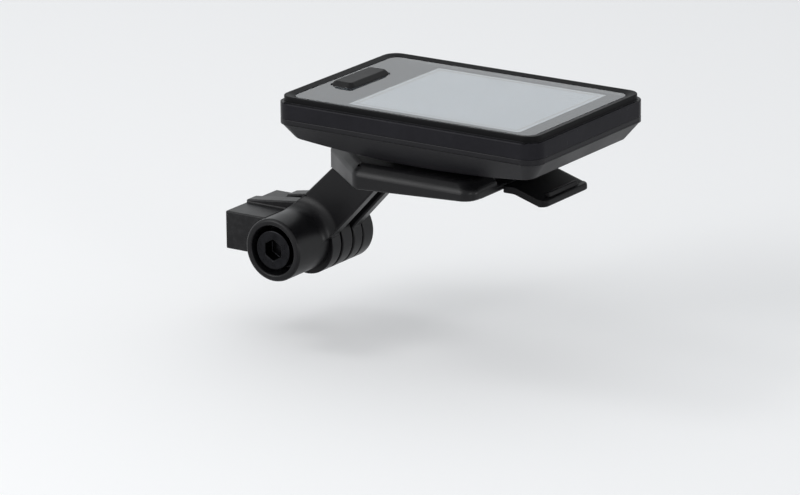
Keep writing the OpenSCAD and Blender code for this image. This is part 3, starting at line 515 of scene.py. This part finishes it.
roundedCopy("top_cover", "upperShell", "case_upper", [
    (onLedgeEdge, shell["ledgeEdge"]), (onCrest, shell["crest"]), (anywhere, shell["seam"])], (isRim, "rim"))
roundedCopy("bottom_cover", "lowerShell", "case_lower", [(anywhere, edgeOf["lowerShell"])])
roundedCopy("button_cap", "buttonPad", "button_rubber", [(anywhere, edgeOf["buttonPad"])])
roundedCopy("port_cover", "portPlug", "button_rubber", [(anywhere, edgeOf["portPlug"])])
roundedCopy("mount_arm", "armAndTray", "mount_plastic", [
    (onBossEnd, arm["bossEdge"]), (atFlareEnd, 0), (nearFlareEnd, arm["flareEdge"]),
    (onTrayTop, arm["trayEdge"]), (anywhere, arm["edge"])], sharp=arm["sharp"])
roundedCopy("stem_base", "baseKnuckle", "mount_plastic", [(anywhere, edgeOf["baseKnuckle"])])
roundedCopy("release_tab", "fingerTab", "tab_plastic", [(onTabCorner, 0), (anywhere, tab["edge"])],
            shape=roundTabCorners)
strip = roundedCopy("latch_tongue", "latchStrip", "mount_plastic", [(anywhere, latch["edge"])], bends=True)
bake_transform(strip)
roundedCopy("pivot_bolt", "hubBolt", "bolt_black", [(anywhere, edgeOf["hubBolt"])])
roundedCopy("case_screws", "lidScrews", "steel", [(anywhere, edgeOf["lidScrews"])])
print("rounded copies made")

slotOf = {
    "base_inserts": "brass", "bolt_washer": "bolt_black", "pivot_nut": "steel",
    "friction_washers": "nylon", "lens": "lens", "display_glass": "display",
    "backlight": "light_panel", "contact_strip": "elastomer", "display_frame": "frame_plastic",
    "circuit_board": "board", "board_chips": "chip", "antenna": "brass", "buzzer": "chip",
    "key_switch": "nickel", "switch_plunger": "frame_plastic", "button_seal": "seal",
    "battery": "cell", "battery_tabs": "nickel", "charging_socket": "nickel",
    "case_seal": "seal",
}
for node, slot in slotOf.items():
    if not nodes[node].material_slots:
        nodes[node].data.materials.append(None)
    nodes[node].material_slots[0].material = finishes[slot]
print("nodes painted:", len(slotOf))


# the foam between battery and board, crowned between its pulled-in sides

foam = {"cells": (18, 20), "pull": 0.35, "pullPower": 6, "flat": 0.82, "flatPower": 8, "rimAngle": 50,
        "rimShare": 0.5, "segments": 3, "fill": 0.8}


def makeFoamPad():
    low, high = (Vector(c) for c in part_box("battery_pad"))
    middle, half = (low + high) / 2, (high - low) / 2
    bm = bmesh.new()
    bmesh.ops.create_grid(bm, x_segments=foam["cells"][0], y_segments=foam["cells"][1], size=1)
    sheet = bmesh.ops.extrude_face_region(bm, geom=bm.faces[:])
    raised = [v for v in sheet["geom"] if isinstance(v, bmesh.types.BMVert)]
    bmesh.ops.translate(bm, verts=raised, vec=(0, 0, 1))
    for vert in bm.verts:
        u, v, side = vert.co.x, vert.co.y, 2 * vert.co.z - 1
        edge = max(abs(u), abs(v))
        pulled = foam["pull"] * mm * (1 - min(abs(u), abs(v)) ** 2) * edge ** foam["pullPower"]
        thick = half.z * (1 - (1 - foam["flat"]) * edge ** foam["flatPower"])
        spread = Vector((u * (half.x - pulled), v * (half.y - pulled), side * thick))
        vert.co = middle + spread
    bmesh.ops.recalc_face_normals(bm, faces=bm.faces[:])
    rims = [e for e in bm.edges if e.calc_face_angle(0) > math.radians(foam["rimAngle"])]
    bmesh.ops.bevel(bm, geom=rims, offset=half.z * foam["rimShare"], affect="EDGES",
                    segments=foam["segments"], profile=0.5, material=-1)
    for face in bm.faces:
        face.smooth = True
    mesh = bpy.data.meshes.new("foamPad")
    mesh.materials.append(finishes["foam"])
    pad = addPiece(bm, mesh, "battery_pad")


makeFoamPad()
print("foam pad made")


# the black print, raised a hair into the lens so that the two faces don't share a plane

film = {"raise": 0.02}


def makeFilmSheet():
    low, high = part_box("lens_film")
    mesh, bm = mergedCopy("lens_film", "filmSheet")
    upper = [v for v in bm.verts if v.co.z > (low[2] + high[2]) / 2]
    bmesh.ops.translate(bm, verts=upper, vec=(0, 0, film["raise"] * mm))
    for face in bm.faces:
        face.smooth = False
    mesh.materials.clear()
    mesh.materials.append(finishes["film"])
    addPiece(bm, mesh, "lens_film")


makeFilmSheet()
print("film sheet made")


# studio: the sky is seen at one strength and lights at another
# the floor's drop is in mm, other lengths are in metres

studio = {"sky": 1.0, "skyColour": (0.965, 0.985, 1.0), "fill": 0.7, "floorDrop": 14, "floorSize": 6.0,
          "floorCells": 8, "floorColour": (0.925, 0.925, 0.93), "floorRough": 0.9, "floorSpecular": 0.1}
lamps = {
    "sideBox": {"place": (0.75, -0.4, 0.36), "aim": (0, 0.05, 0.02), "size": (0.5, 0.5), "power": 4.6},
    "topBox": {"place": (0.22, -0.44, 0.74), "aim": (0, 0.05, 0.02), "size": (0.25, 0.25), "power": 0.7},
    "frontBox": {"place": (0.45, 0.8, 0.1), "aim": (0, 0.05, 0.02), "size": (0.16, 0.28), "power": 1.3},
    "lowBox": {"place": (-0.3, 0.95, 0.05), "aim": (0, 0.03, 0), "size": (0.22, 0.14), "power": 1.4},
}


def makeSky():
    world = bpy.data.worlds.new("studioSky")
    scene.world = world
    world.use_nodes = True
    tree = world.node_tree
    paths = addNode(tree, "LightPath")
    seen = mathOf(tree, "MAXIMUM", paths.outputs["Is Camera Ray"], paths.outputs["Is Glossy Ray"])
    seen = mathOf(tree, "MAXIMUM", seen, paths.outputs["Is Transmission Ray"])
    level = rangeOf(tree, seen, 0, 1, studio["fill"], studio["sky"])
    backdrop = tree.nodes["Background"]
    backdrop.inputs["Color"].default_value = (*studio["skyColour"], 1)
    tree.links.new(level, backdrop.inputs["Strength"])


def makeFloor():
    bm = bmesh.new()
    bmesh.ops.create_grid(bm, x_segments=studio["floorCells"], y_segments=studio["floorCells"],
                          size=studio["floorSize"] / 2)
    bmesh.ops.translate(bm, verts=bm.verts[:], vec=(0, 0, cadBox[0].z - studio["floorDrop"] * mm))
    mesh = bpy.data.meshes.new("paleFloor")
    bm.to_mesh(mesh)
    bm.free()
    material, _, _ = startMaterial("floorPale", {
        "Base Color": (*studio["floorColour"], 1), "Roughness": studio["floorRough"],
        "Specular IOR Level": studio["floorSpecular"]})
    mesh.materials.append(material)
    floor = bpy.data.objects.new("paleFloor", mesh)
    scene.collection.objects.link(floor)


def softBox(name, place, aim, size, power):
    light = bpy.data.lights.new(name, "AREA")
    light.shape = "RECTANGLE"
    light.size, light.size_y = size
    light.energy = power
    lamp = bpy.data.objects.new(name, light)
    lamp.location = place
    lamp.rotation_mode = "QUATERNION"
    lamp.rotation_quaternion = (Vector(aim) - Vector(place)).to_track_quat("-Z", "Y")
    scene.collection.objects.link(lamp)


makeSky()
makeFloor()
for name, values in lamps.items():
    softBox(name, **values)
scene.view_settings.view_transform = "Standard"

view = {"azimuth": 123.3, "elevation": 15.2, "distance": 1.073, "lens": 231.75, "sensor": 36, "near": 0.01,
        "aim": (-12.83, -31.6), "roll": -0.6}


def makeCamera():
    a, e = math.radians(view["azimuth"]), math.radians(view["elevation"])
    back = Vector((math.sin(a) * math.cos(e), -math.cos(a) * math.cos(e), math.sin(e)))
    right = Vector((0, 0, 1)).cross(back).normalized()
    up = back.cross(right)
    aim = headPoint + (right * view["aim"][0] + up * view["aim"][1]) * mm
    camera = bpy.data.objects.new("photoCamera", bpy.data.cameras.new("photoCamera"))
    camera.data.sensor_fit = "HORIZONTAL"
    camera.data.sensor_width = view["sensor"]
    camera.data.lens = view["lens"]
    camera.data.clip_start = view["near"]
    camera.location = headPoint + back * view["distance"]
    camera.rotation_mode = "QUATERNION"
    facing = (aim - camera.location).to_track_quat("-Z", "Y")
    camera.rotation_quaternion = facing @ Quaternion((0, 0, 1), math.radians(view["roll"]))
    scene.collection.objects.link(camera)
    scene.camera = camera


makeCamera()
print("studio made")
